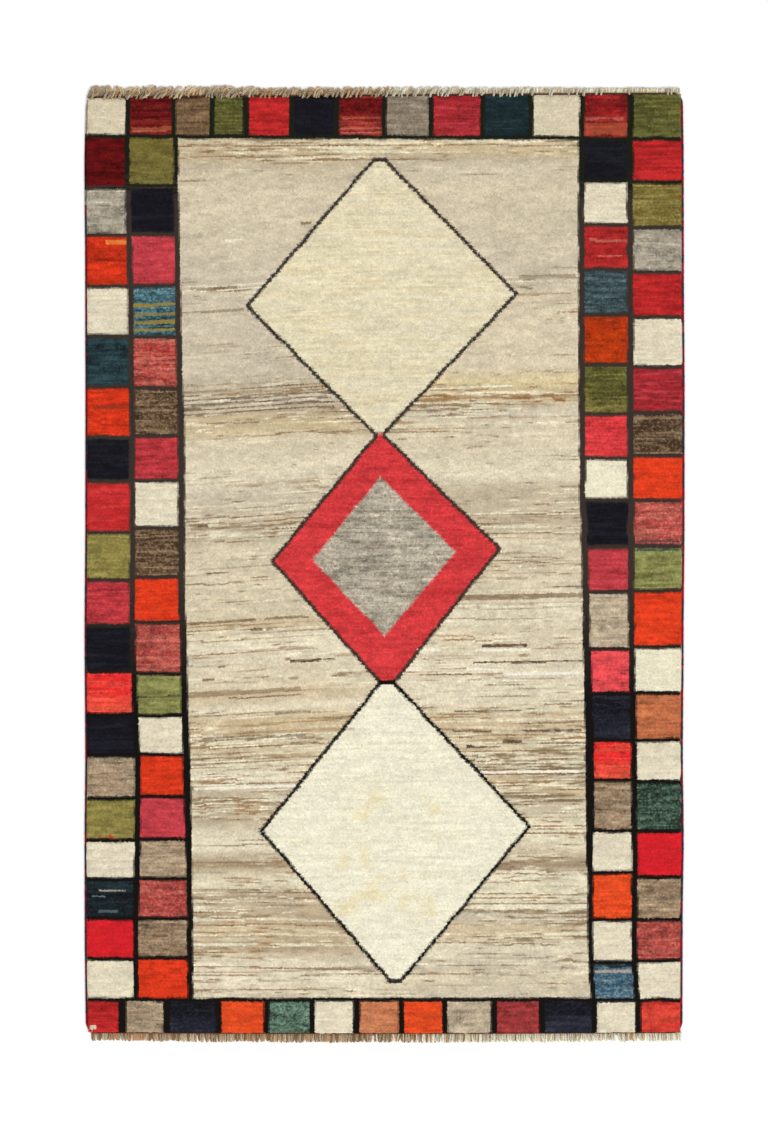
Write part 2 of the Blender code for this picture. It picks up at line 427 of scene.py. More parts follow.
# Single yarns that ran out part way along a row, in the field and in some squares.
THREADS = table(
    "left right y height wool share",
    (-0.326, -0.291, 0.666, 0.005, "white", 0.9),
    (-0.172, -0.15, 0.7, 0.004, "brown", 0.85),
    (-0.35, -0.325, 0.568, 0.006, "dark_brown", 0.75),
    (-0.395, -0.3, 0.566, 0.004, "brown", 0.75),
    (-0.415, -0.285, 0.519, 0.004, "brown", 0.65),
    (0.278, 0.395, 0.592, 0.004, "brown", 0.65),
    (0.271, 0.384, 0.554, 0.004, "sienna", 0.6),
    (0.355, 0.373, 0.516, 0.004, "brown", 0.65),
    (-0.223, -0.172, 0.424, 0.004, "brown", 0.65),
    (-0.411, -0.316, 0.414, 0.005, "pale_buff", 0.6),
    (-0.411, -0.11, 0.3625, 0.0036, "dark_brown", 0.55),
    (-0.411, -0.25, 0.353, 0.003, "brown", 0.5),
    (-0.411, -0.11, 0.3435, 0.004, "dark_brown", 0.75),
    (-0.411, -0.11, 0.3345, 0.004, "dark_brown", 0.75),
    (-0.411, -0.1, 0.3255, 0.0036, "dark_brown", 0.8),
    (-0.411, -0.1, 0.316, 0.0036, "dark_brown", 0.7),
    (-0.32, -0.16, 0.307, 0.004, "ivory", 0.7),
    (-0.411, -0.22, 0.299, 0.01, "straw", 0.8),
    (0.2, 0.262, 0.365, 0.004, "bleached", 0.9),
    (0.092, 0.215, 0.357, 0.003, "sienna", 0.7),
    (0.12, 0.145, 0.342, 0.005, "sienna", 0.9),
    (0.175, 0.19, 0.334, 0.004, "sienna", 1.0),
    (0.275, 0.3, 0.34, 0.004, "sienna", 0.8),
    (0.305, 0.325, 0.334, 0.004, "sienna", 1.0),
    (0.35, 0.375, 0.338, 0.004, "sienna", 1.0),
    (0.06, 0.22, 0.328, 0.003, "brown", 0.75),
    (0.025, 0.06, 0.289, 0.006, "camel", 0.6),
    (-0.395, -0.18, 0.078, 0.004, "brown", 0.65),
    (-0.381, -0.362, 0.078, 0.006, "dark_brown", 0.85),
    (-0.363, -0.318, -0.0185, 0.004, "dark_brown", 0.95),
    (-0.272, -0.238, -0.027, 0.004, "brown", 0.85),
    (0.232, 0.293, -0.029, 0.006, "brown", 0.55),
    (0.349, 0.408, -0.047, 0.004, "dark_brown", 0.75),
    (0.15, 0.408, -0.065, 0.011, "brown", 0.8),
    (-0.398, -0.264, -0.119, 0.006, "brown", 0.95),
    (-0.244, -0.152, -0.109, 0.005, "brown", 0.85),
    (-0.272, -0.25, -0.134, 0.004, "dark_brown", 0.75),
    (-0.24, -0.228, -0.134, 0.004, "dark_brown", 0.65),
    (0.203, 0.293, -0.1655, 0.004, "dark_brown", 0.95),
    (0.187, 0.3, -0.1735, 0.006, "bleached", 0.9),
    (0.066, 0.115, -0.176, 0.006, "bleached", 0.9),
    (-0.203, -0.192, -0.193, 0.006, "sienna", 0.9),
    (-0.193, -0.1, -0.1965, 0.0035, "dark_brown", 1.0),
    (-0.1, -0.05, -0.187, 0.004, "sienna", 0.6),
    (-0.342, -0.322, -0.211, 0.003, "dark_brown", 0.75),
    (-0.371, -0.348, -0.238, 0.004, "brown", 0.95),
    (-0.402, -0.391, -0.207, 0.003, "dark_brown", 0.75),
    (0.184, 0.408, -0.199, 0.0045, "dark_brown", 0.95),
    (0.17, 0.232, -0.215, 0.006, "bleached", 0.9),
    (0.041, 0.078, -0.215, 0.006, "bleached", 0.9),
    (0.242, 0.402, -0.2225, 0.006, "bleached", 0.9),
    (0.242, 0.293, -0.238, 0.004, "bleached", 0.9),
    (0.102, 0.184, -0.2255, 0.004, "brown", 1.0),
    (-0.404, -0.172, -0.262, 0.01, "brown", 0.7),
    (-0.32, -0.172, -0.27, 0.003, "dark_brown", 0.75),
    (-0.366, -0.336, -0.305, 0.004, "brown", 0.75),
    (-0.225, -0.15, -0.303, 0.004, "brown", 0.75),
    (0.146, 0.283, -0.301, 0.004, "dark_brown", 0.85),
    (0.33, 0.385, -0.288, 0.004, "brown", 0.85),
    (0.139, 0.221, -0.342, 0.005, "dark_brown", 0.85),
    (0.283, 0.406, -0.34, 0.004, "dark_brown", 0.85),
    (0.242, 0.283, -0.363, 0.005, "dark_brown", 0.95),
    (-0.34, -0.09, -0.325, 0.004, "sienna", 0.6),
    (-0.33, -0.06, -0.342, 0.006, "sienna", 0.5),
    (0.168, 0.238, -0.373, 0.005, "dark_brown", 0.95),
    (-0.395, -0.16, -0.356, 0.004, "dark_brown", 0.65),
    (0.18, 0.4, -0.425, 0.004, "bleached", 0.9),
    (-0.39, -0.18, -0.457, 0.005, "bleached", 0.9),
    (-0.02, 0.03, 0.336, 0.003, "tan", 0.6),
    (-0.516, -0.418, 0.532, 0.007, "ochre", 0.9),
    (-0.516, -0.418, 0.5115, 0.006, "ochre", 0.7),
    (-0.516, -0.418, 0.496, 0.007, "ochre", 0.9),
    (-0.516, -0.418, 0.481, 0.007, "ochre", 0.9),
    (-0.508, -0.418, 0.457, 0.003, "pale_rose", 0.6),
    (-0.508, -0.418, 0.423, 0.006, "pale_rose", 0.6),
    (-0.516, -0.434, 0.949, 0.004, "black_madder", 0.7),
    (-0.516, -0.434, 0.93, 0.006, "black_madder", 0.7),
    (-0.516, -0.434, 0.917, 0.005, "black_madder", 0.7),
    (-0.516, -0.434, 0.893, 0.008, "terracotta", 0.5),
    (0.415, 0.5, 0.945, 0.018, "black_madder", 0.45),
    (0.415, 0.5, 0.894, 0.024, "terracotta", 0.35),
    (0.415, 0.492, 0.914, 0.004, "pale_rose", 0.4),
    (-0.572, -0.526, 0.662, 0.01, "yellow", 0.7),
    (0.42, 0.5, 0.664, 0.006, "pale_rose", 0.5),
    (0.44, 0.49, 0.633, 0.004, "pale_rose", 0.5),
    (-0.514, -0.445, 0.889, 0.004, "pale_rose", 0.5),
    (-0.09, 0.005, 0.896, 0.004, "pale_rose", 0.6),
    (-0.09, 0.005, 0.887, 0.004, "pale_rose", 0.5),
    (-0.085, 0.0, 0.916, 0.004, "terracotta", 0.6),
    (-0.598, -0.522, 0.625, 0.004, "black_madder", 0.5),
    (-0.598, -0.522, 0.322, 0.004, "dark_brown", 0.65),
    (-0.508, -0.418, -0.272, 0.005, "navy", 0.8),
    (0.518, 0.605, 0.047, 0.004, "petrol", 0.9),
    (0.518, 0.605, 0.03, 0.004, "petrol", 0.9),
    (0.42, 0.5, 0.352, 0.003, "black", 0.6),
    (0.42, 0.5, 0.34, 0.003, "black", 0.6),
    (-0.565, -0.555, -0.558, 0.006, "scarlet", 0.9),
    (-0.585, -0.577, -0.561, 0.005, "scarlet", 0.8),
    (-0.585, -0.525, -0.668, 0.003, "pale_buff", 0.5),
    (-0.6, -0.57, -0.681, 0.004, "pale_steel", 0.5),
    (-0.585, -0.545, -0.712, 0.004, "pale_steel", 0.3),
    (0.429, 0.508, -0.82, 0.012, "deep_petrol", 0.9),
    (0.429, 0.508, -0.833, 0.005, "pale_taupe", 0.8),
    (-0.476, -0.445, -0.762, 0.004, "dark_brown", 0.75),
    (-0.604, -0.592, -0.95, 0.01, "cream", 0.8),
)

# How far things wander: the rows of knots, the dark lines and the edges of squares and lozenges.
LEFT_SAG = 0.021
RIGHT_RISE = 0.005
ROW_WAVE = 0.0018
LINE_WOBBLE = 0.0017
END_LINE_WOBBLE = 0.0014
SQUARE_WOBBLE = 0.0012
LOZENGE_WOBBLE = 0.0012

# Lighter and darker yarns in the field: how long they run, and how softly they start and stop.
STREAKS = table("length seed", (0.70, 53), (0.22, 55), (0.045, 57))
STREAK_SOFTNESS = 0.20
STREAK_STRENGTH = 0.8

# How strongly single knots and patches differ, and the stained patch in the lower lozenge.
SQUARE_MOTTLE = 0.85
FIELD_MOTTLE = 0.18
STAIN_X = 0.005
STAIN_HALF_WIDTH = 0.11
STAIN_TOP_Y = -0.46
STAIN_BOTTOM_Y = -0.72
STAIN_STRENGTH = 0.5

TURN = 2 * math.pi

# The area that the noise covers.
NOISE_LEFT = -0.7
NOISE_BOTTOM = -1.1
NOISE_WIDTH = 2.8
NOISE_LENGTH = 2.2


def linear(name):
    """A wool's colour as linear RGB."""
    value = np.array(WOOLS[name]) / 255
    return np.where(value <= 0.04045, value / 12.92, ((value + 0.055) / 1.055) ** 2.4)


def unit(value):
    return np.clip(value, 0, 1)


def eased(value):
    """A share from 0 to 1 that starts and ends softly."""
    t = unit(value)
    return t * t * (3 - 2 * t)


def patch_noise(x, y, cell_x, cell_y, seed):
    """Smooth noise from -1 to 1 in cells of that width and height. A seed picks its pattern."""
    u = (x - NOISE_LEFT) / cell_x
    v = (y - NOISE_BOTTOM) / cell_y
    column, row = np.floor(u).astype(int), np.floor(v).astype(int)
    du, dv = eased(u - column), eased(v - row)
    table_size = int(NOISE_LENGTH / cell_y) + 2, int(NOISE_WIDTH / cell_x) + 2
    table = np.random.default_rng(seed).random(table_size)
    low = table[row, column] * (1 - du) + table[row, column + 1] * du
    high = table[row + 1, column] * (1 - du) + table[row + 1, column + 1] * du
    return 2 * (low * (1 - dv) + high * dv) - 1


def row_noise(x, row, cell_x, seed):
    """Noise from -1 to 1 that changes smoothly along a row of knots and jumps between rows."""
    rng = np.random.default_rng(seed)
    table = rng.random((TUFT_ROWS, int(NOISE_WIDTH / cell_x) + 3))
    u = (x - NOISE_LEFT) / cell_x + rng.random(TUFT_ROWS)[row]
    column = np.floor(u).astype(int)
    du = eased(u - column)
    return 2 * (table[row, column] * (1 - du) + table[row, column + 1] * du) - 1


def knot_noise(count, seed):
    return 2 * np.random.default_rng(seed).random(count) - 1


def row_lift(x, y):
    """How far the rows of knots sag at this place: the left side was beaten down harder."""
    middle = eased((0.86 - y) / 0.25) * eased((y + 0.62) / 0.35)
    left = eased((-0.05 - x) / 0.45) * LEFT_SAG
    right = unit(x / 0.4) * RIGHT_RISE
    return middle * (left - right)


def along_line(line, y):
    """A dark line's place and width at y."""
    ys = [station.y for station in reversed(line)]
    xs = [station.x for station in reversed(line)]
    widths = [station.width for station in reversed(line)]
    wobble = patch_noise(0 * y + line[0].x, y, 0.05, 0.018, 31) * LINE_WOBBLE
    return np.interp(y, ys, xs) + wobble, np.interp(y, ys, widths)


def covered(distance, half_width):
    """How dark a line that runs over part of a knot makes it."""
    bare = 1 - unit((half_width - distance) / LINE_BLUR + 0.5)
    return 1 - bare ** LINE_DARKNESS


def mixed(first, second, share):
    return first * (1 - share[:, None]) + second * share[:, None]


def toned(table, y, wool="wool"):
    """The colour at y from a table of wools ordered from the top down."""
    ys = [stop.y for stop in reversed(table)]
    colours = np.array([linear(getattr(stop, wool)) for stop in reversed(table)])
    return np.stack([np.interp(y, ys, channel) for channel in colours.T], axis=1)


def lozenge_depth(x, y, corners):
    """How far inside a lozenge a place is, negative outside."""
    depth = np.full(len(x), np.inf)
    for (first_x, first_y), second in zip(corners, corners[1:] + corners[:1]):
        along = np.array([second[0] - first_x, second[1] - first_y])
        along /= np.linalg.norm(along)
        depth = np.minimum(depth, along[1] * (x - first_x) - along[0] * (y - first_y))
    return depth


def end_band(x, y, squares, low_y, high_y):
    """The squares of an end row here: each one's number, its share down and the dark lines."""
    edges = np.cumsum([square.width for square in squares]) - HALF_WIDTH
    wobbling = x + patch_noise(x, y, 0.05, 0.03, 37) * SQUARE_WOBBLE
    number = np.clip(np.searchsorted(edges, wobbling), 0, len(squares) - 1)
    down = (high_y - y) / (high_y - low_y)
    on_line = np.zeros(len(x))
    for edge, square in zip(edges[:-1], squares):
        on_line = np.maximum(on_line, covered(np.abs(wobbling - edge), square.line / 2))
    return number, down, on_line


def side_band(x, y, rows, top_y, outer):
    """The squares of a side's two columns here: each one's number, share down and dark lines."""
    wobbling = y + patch_noise(x, y, 0.030, 0.05, 41) * SQUARE_WOBBLE
    heights = np.array([row.height for row in rows])
    steps = np.array([row.step for row in rows])
    scale = (top_y - BOTTOM_LINE_Y) / heights.sum()
    edges = np.concatenate([[0], np.cumsum(heights)]) * scale
    number = np.zeros(len(x), int)
    down = np.zeros(len(x))
    on_line = np.zeros(len(x))
    for is_outer in (True, False):
        here = outer == is_outer
        lower = edges.copy()
        lower[1:-1] += steps[:-1] * (0.5 if is_outer else -0.5)
        depth = top_y - wobbling[here]
        found = np.clip(np.searchsorted(lower, depth) - 1, 0, len(rows) - 1)
        number[here] = found * 2 + is_outer
        down[here] = (depth - lower[found]) / (lower[found + 1] - lower[found])
        nearest = np.abs(depth[:, None] - lower[None, 1:-1]).min(axis=1)
        on_line[here] = covered(nearest, CROSS_LINE_WIDTH / 2)
    return number, down, on_line


def square_colours(x, y, row, names, number, down, seed):
    """The abrash of these squares: rows, single knots, fades and stripes of the other wool."""
    used = [Square(*SQUARES[name]) for name in names]
    base = np.array([linear(square.wool) for square in used])[number]
    other = np.array([linear(square.other) for square in used])[number]
    rows, flecks, texture, fade, stripes, stripe_share = (
        np.array([getattr(square, key) for square in used], float)[number]
        for key in ("rows", "flecks", "texture", "fade", "stripes", "stripe_share")
    )
    shifted = x + 0.8 + 0.011 * number
    broad = row_noise(shifted, row // 2, 0.11, seed)
    fine = row_noise(shifted, row, 0.045, seed + 1)
    share = rows * unit(2.4 * (0.5 * broad + 0.5 * fine))
    share += flecks * unit(1.6 * knot_noise(len(x), seed + 2))
    share += fade * eased((down - 0.35) / 0.5)
    striped = np.sin(TURN * (stripes * down + 0.12 * broad)) > 0.25
    share += (stripes > 0) * striped * stripe_share
    patches = 0.7 * patch_noise(x, y, 0.014, 0.006, seed + 3)
    patches += 0.3 * patch_noise(x, y, 0.05, 0.02, seed + 4)
    mottle = patches + 0.45 * row_noise(x, row, 0.05, seed + 5)
    mottle = mottle + 0.45 * knot_noise(len(x), seed + 6)
    return mixed(base, other, unit(share)) * (1 + SQUARE_MOTTLE * texture * mottle)[:, None]


def field_colours(x, y, level, row):
    """The undyed wool: broad tones, with lighter and darker yarns that start and stop."""
    to_right = eased(x / 0.2 + 0.5)
    colour = mixed(toned(FIELD_TONES, level, "left"), toned(FIELD_TONES, level, "right"), to_right)
    ys = [stop.y for stop in reversed(FIELD_TONES)]
    amount = np.interp(level, ys, [stop.streaks for stop in reversed(FIELD_TONES)])
    amount = amount * np.clip(0.9 + 0.6 * patch_noise(x, level, 0.30, 0.022, 69), 0.3, 1.3)
    broad = 0.3 * amount * patch_noise(x, level, 0.40, 0.012, 51)
    colour = mixed(colour, linear("pale_buff"), unit(broad))
    colour = mixed(colour, linear("tan"), unit(-broad))
    warm = unit(0.3 + 0.9 * patch_noise(x, level, 0.14, 0.03, 63))
    browns = mixed(np.tile(linear("brown"), (len(x), 1)), linear("sienna"), warm)
    least = 1 - 0.55 * amount
    for streak in STREAKS:
        noise = row_noise(x, row, streak.length, streak.seed)
        whole = STREAK_STRENGTH * unit(0.9 + 0.6 * row_noise(x, row, 0.014, streak.seed + 1))
        dark = whole * unit((noise - least) / STREAK_SOFTNESS)
        pale = whole * unit((-noise - least) / STREAK_SOFTNESS)
        colour = mixed(mixed(colour, browns, dark), linear("pale_cream"), pale)
    mottle = 0.6 * patch_noise(x, y, 0.014, 0.006, 61) + 0.5 * knot_noise(len(x), 59)
    mottle += 0.5 * patch_noise(x, y, 0.05, 0.012, 65)
    return colour * (1 + FIELD_MOTTLE * mottle)[:, None]


def wool_colours(x, y):
    """Linear RGB of the wool at each place."""
    level = y + row_lift(x, y) + ROW_WAVE * patch_noise(x, y, 0.09, 0.05, 33)
    row = np.clip((level - BOTTOM_Y) / ROW_PITCH, 0, TUFT_ROWS - 1).astype(int)
    stepped_y = y + KNOT_STEP * (0.5 - level / KNOT_STEP % 1)
    across = (x + HALF_WIDTH) / (2 * HALF_WIDTH)
    top_line = TOP_LINE_LEFT_Y + (TOP_LINE_RIGHT_Y - TOP_LINE_LEFT_Y) * across
    end_wobble = patch_noise(x, 0 * y, 0.03, 1.0, 43) * END_LINE_WOBBLE
    field_left, left_width = along_line(FIELD_LEFT, y)
    field_right, right_width = along_line(FIELD_RIGHT, y)
    in_top = y > top_line + end_wobble
    in_bottom = y < BOTTOM_LINE_Y + end_wobble
    in_left = ~in_top & ~in_bottom & (x < field_left)
    in_right = ~in_top & ~in_bottom & (x > field_right)

    colour = field_colours(x, y, level, row)
    on_line = np.zeros(len(x))
    line_colour = toned(LINE_WOOLS, y + 0.03 * row_noise(x, row, 0.06, 67))
    for lozenge in LOZENGES:
        wobble = LOZENGE_WOBBLE * patch_noise(x, y, 0.020, 0.020, 71)
        depth = lozenge_depth(x, stepped_y, lozenge.corners) + wobble
        share = unit(depth / LINE_BLUR + 0.5)
        inside = share > 0
        number = np.zeros(inside.sum(), int)
        wools = square_colours(
            x[inside], y[inside], row[inside], [lozenge.square], number, 0.0 * number, 73,
        )
        colour[inside] = mixed(colour[inside], wools, share[inside])
        if lozenge.line:
            edge = covered(np.abs(depth), lozenge.line_width / 2)
            on_line = np.maximum(on_line, edge)
            line_colour[edge > 0] = linear(lozenge.line)
    touching = np.abs(x - OPENING_X) < OPENING_HALF_WIDTH
    touching = touching & (np.abs(y - OPENING_Y) < OPENING_HALF_HEIGHT)
    on_line[touching] = 0
    stained = patch_noise(x, y, 0.06, 0.05, 79) + patch_noise(x, y, 0.02, 0.02, 83)
    in_patch = (np.abs(x - STAIN_X) < STAIN_HALF_WIDTH) & (y < STAIN_TOP_Y) & (y > STAIN_BOTTOM_Y)
    colour = mixed(colour, linear("stain"), in_patch * unit(stained - 0.1) * STAIN_STRENGTH)

    for inside, squares, low_y, high_y, seed in (
        (in_top, TOP_SQUARES, TOP_LINE_LEFT_Y, TOP_Y, 101),
        (in_bottom, BOTTOM_SQUARES, BOTTOM_Y, BOTTOM_LINE_Y, 111),
    ):
        number, down, lines = end_band(x[inside], y[inside], squares, low_y, high_y)
        names = [square.square for square in squares]
        colour[inside] = square_colours(
            x[inside], y[inside], row[inside], names, number, down, seed,
        )
        on_line[inside] = lines
    for inside, rows, divider, side, top_y, seed in (
        (in_left, LEFT_ROWS, LEFT_DIVIDER, -1, TOP_LINE_LEFT_Y, 121),
        (in_right, RIGHT_ROWS, RIGHT_DIVIDER, 1, TOP_LINE_RIGHT_Y, 131),
    ):
        middle, width = along_line(divider, y[inside])
        outer = (x[inside] - middle) * side > 0
        number, down, lines = side_band(x[inside], y[inside], rows, top_y, outer)
        names = [name for row_here in rows for name in (row_here.inner, row_here.outer)]
        colour[inside] = square_colours(
            x[inside], y[inside], row[inside], names, number, down, seed,
        )
        on_line[inside] = np.maximum(lines, covered(np.abs(x[inside] - middle), width / 2))

    for thread in THREADS:
        thread_level = thread.y + row_lift(np.array((thread.left + thread.right) / 2), thread.y)
        near = (x > thread.left) & (x < thread.right)
        near &= np.abs(level - thread_level) < thread.height / 2
        worn = unit(0.95 + 0.4 * row_noise(x[near], row[near], 0.012, 89))
        colour[near] = mixed(colour[near], linear(thread.wool), thread.share * worn)

    between = ~in_top & ~in_bottom
    for distance, half_width in (
        (np.abs(y - top_line - end_wobble), CROSS_LINE_WIDTH / 2),
        (np.abs(y - BOTTOM_LINE_Y - end_wobble), CROSS_LINE_WIDTH / 2),
        (np.abs(x - field_left) + ~between, left_width / 2),
        (np.abs(x - field_right) + ~between, right_width / 2),
    ):
        on_line = np.maximum(on_line, covered(distance, half_width))
    return mixed(colour, line_colour, on_line)


# Shapes of the rug. The outline repeats the rules of the CAD body's outline.

SIDE_STATIONS = table(
    "y left_bow right_bow",
    (-0.965, -0.001, -0.0025),
    (-0.74, 0.0012, -0.002),
    (-0.56, 0.0014, 0.0002),
    (-0.4, 0.0, -0.0016),
    (-0.15, 0.0014, 0.0),
    (0.08, 0.0, 0.0018),
    (0.35, -0.0004, 0.002),
    (0.58, 0.0002, 0.0006),
    (0.82, 0.0016, 0.0002),
    (0.965, -0.001, -0.0015),
)
TOP_END_TILT = 0.008
BOTTOM_END_BULGE = 0.002
ROUND_CORNERS = table(
    "side end radius",
    (-1, 1, 0.006),
    (1, 1, 0.013),
    (-1, -1, 0.016),
    (1, -1, 0.01),
)

CLOTH_THICKNESS = 0.0052
BACK_COLUMNS = 160
BACK_ROWS = 256
CELLS_PER_PANEL = 4
BACK_DARKEST = 0.86

PILE_BANDS = 4
TUFT_SIDES = 3
ROOT_HEIGHT = 0.0048
ROOT_RADIUS = 0.0120
PILE_TOP = 0.013
TUFT_SHIFT = 0.0006
HEIGHT_SPREAD = 0.0004
NAP_LEAN = 0.0010
RIM_ROUNDING = 0.005
# Tuft roots take 0.8 of the tuft's colour: painted shade in the gaps between the tufts.
ROOT_PAINTED_SHADE = 0.8
SHADE_SPREAD = 0.05
OVERHANG_LEFT = 0.0004
OVERHANG_RIGHT = 0.0022
OVERHANG_TOP = 0.0004
OVERHANG_BOTTOM = 0.0026
OVERHANG_SPREAD = 0.0008
UV_CORNERS = ((0.04, 0.04), (0.96, 0.04), (0.50, 0.96), (0.50, 0.35))

SMALLEST = 1e-9


def side_x(side, y):
    """The body's side at y, eased from station to station."""
    ys = np.array([station.y for station in SIDE_STATIONS])
    bows = np.array([
        station.left_bow if side < 0 else station.right_bow for station in SIDE_STATIONS
    ])
    y = np.clip(y, ys[0], ys[-1])
    low = np.clip(np.searchsorted(ys, y) - 1, 0, len(ys) - 2)
    t = eased((y - ys[low]) / (ys[low + 1] - ys[low]))
    return side * (HALF_WIDTH + bows[low] + (bows[low + 1] - bows[low]) * t)


def end_y(end, x):
    across = x / HALF_WIDTH
    if end > 0:
        return TOP_Y + TOP_END_TILT / 2 * across
    return BOTTOM_Y - BOTTOM_END_BULGE * (0.5 - across * across)


def placed(across, along):
    """Places inside the body's outline, from shares that run from -1 to 1 across and along."""
    straight_x = across * HALF_WIDTH
    y = end_y(1, straight_x) * (1 + along) / 2 + end_y(-1, straight_x) * (1 - along) / 2
    x = side_x(1, y) * (1 + across) / 2 - side_x(-1, y) * (across - 1) / 2
    for corner in ROUND_CORNERS:
        middle_x = side_x(corner.side, corner.end * TOP_Y) - corner.side * corner.radius
        middle_y = end_y(corner.end, corner.side * HALF_WIDTH) - corner.end * corner.radius
        out_x = (x - middle_x) * corner.side
        out_y = (y - middle_y) * corner.end
        near = (out_x > 0) & (out_y > 0)
        from_middle = np.maximum(np.hypot(out_x, out_y), SMALLEST)
        pull = np.where(near, np.maximum(out_x, out_y) / from_middle, 1)
        x = np.where(near, middle_x + (x - middle_x) * pull, x)
        y = np.where(near, middle_y + (y - middle_y) * pull, y)
    return x, y


def mesh_from(name, points, faces, colours, of_faces=False, cells=None):
    """A smooth mesh from its points and its faces, given as arrays of equal-sided faces."""
    mesh = bpy.data.meshes.new(name)
    corners = np.concatenate([np.ravel(group) for group in faces]).astype(np.int32)
    sizes = np.concatenate([np.full(len(group), np.shape(group)[1]) for group in faces])
    starts = np.concatenate([[0], np.cumsum(sizes)[:-1]]).astype(np.int32)
    mesh.vertices.add(len(points))
    mesh.vertices.foreach_set("co", np.ascontiguousarray(points, dtype=np.float32).ravel())
    mesh.loops.add(len(corners))
    mesh.loops.foreach_set("vertex_index", corners)
    mesh.polygons.add(len(sizes))
    mesh.polygons.foreach_set("loop_start", starts)
    mesh.update(calc_edges=True)
    rgba = np.ones((len(colours), 4), np.float32)
    rgba[:, :3] = colours
    wool = mesh.attributes.new("wool", "FLOAT_COLOR", "FACE" if of_faces else "POINT")
    wool.data.foreach_set("color", rgba.ravel())
    if cells is not None:
        layer = mesh.uv_layers.new(name="OFBake")
        layer.data.foreach_set("uv", cells[corners].astype(np.float32).ravel())
    mesh.shade_smooth()
    return mesh


def add_object(name, data):
    made = bpy.data.objects.new(name, data)
    bpy.context.scene.collection.objects.link(made)
    return made


def add_piece(name, mesh, material):
    mesh.materials.append(material)
    piece = add_object(name, mesh)
    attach(piece, "root")
    return piece


def quads(number):
    """The faces of a grid of numbered points."""
    corners = [number[:-1, :-1], number[1:, :-1], number[1:, 1:], number[:-1, 1:]]
    return np.stack(corners, axis=-1).reshape(-1, 4)


def make_cloth(material):
    """The woven sheet that holds the knots: its flat back shows each knot's wool."""
    columns, rows = BACK_COLUMNS + 1, BACK_ROWS + 1
    along, across = np.linspace(-1, 1, rows), np.linspace(-1, 1, columns)
    along, across = np.meshgrid(along, across, indexing="ij")
    x, y = placed(across.ravel(), along.ravel())
    back = np.stack([x, y, 0 * x], axis=1)
    number = np.arange(rows * columns).reshape(rows, columns)
    cells = quads(number)
    step = CELLS_PER_PANEL
    coarse = number[::step, ::step]
    upper = back[coarse.ravel()] + (0, 0, CLOTH_THICKNESS)
    raised = len(back) + np.arange(coarse.size).reshape(coarse.shape)
    panels = quads(raised)[:, [0, 3, 2, 1]]
    walls = []
    for lower_run, upper_run in (
        (number[0], raised[0]),
        (number[:, -1], raised[:, -1]),
        (number[-1, ::-1], raised[-1, ::-1]),
        (number[::-1, 0], raised[::-1, 0]),
    ):
        for index in range(len(upper_run) - 1):
            low = lower_run[index * step:(index + 1) * step + 1]
            walls.append([*low, upper_run[index + 1], upper_run[index]])
    points = np.concatenate([back, upper])
    faces = [cells, panels, np.array(walls)]
    colours = np.concatenate([
        wool_colours(*points[group].mean(axis=1)[:, :2].T) for group in faces
    ])
    rng = np.random.default_rng(7)
    colours *= rng.uniform(BACK_DARKEST, 1.0, (len(colours), 1))
    mesh = mesh_from("rug_cloth", points, faces, colours, of_faces=True)
    piece = add_piece("rug_cloth", mesh, material)
    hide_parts("rug_body")


def rim_drop(x, y):
    """How far the trimmed pile falls away near the rug's edges."""
    inside = np.minimum(
        np.minimum(x - side_x(-1, y), side_x(1, y) - x),
        np.minimum(end_y(1, x) - y, y - end_y(-1, x)),
    )
    short = 1 - unit(inside / RIM_ROUNDING)
    return RIM_ROUNDING * (1 - np.sqrt(1 - short * short))


def swell(x, y):
    """The low, slow unevenness of the trimmed pile."""
    broad = 0.00036 * np.sin(7.3 * x + 2.1) * np.sin(5.1 * y + 0.6)
    return broad + 0.00024 * np.sin(17 * x) * np.sin(13 * y + 1.4)


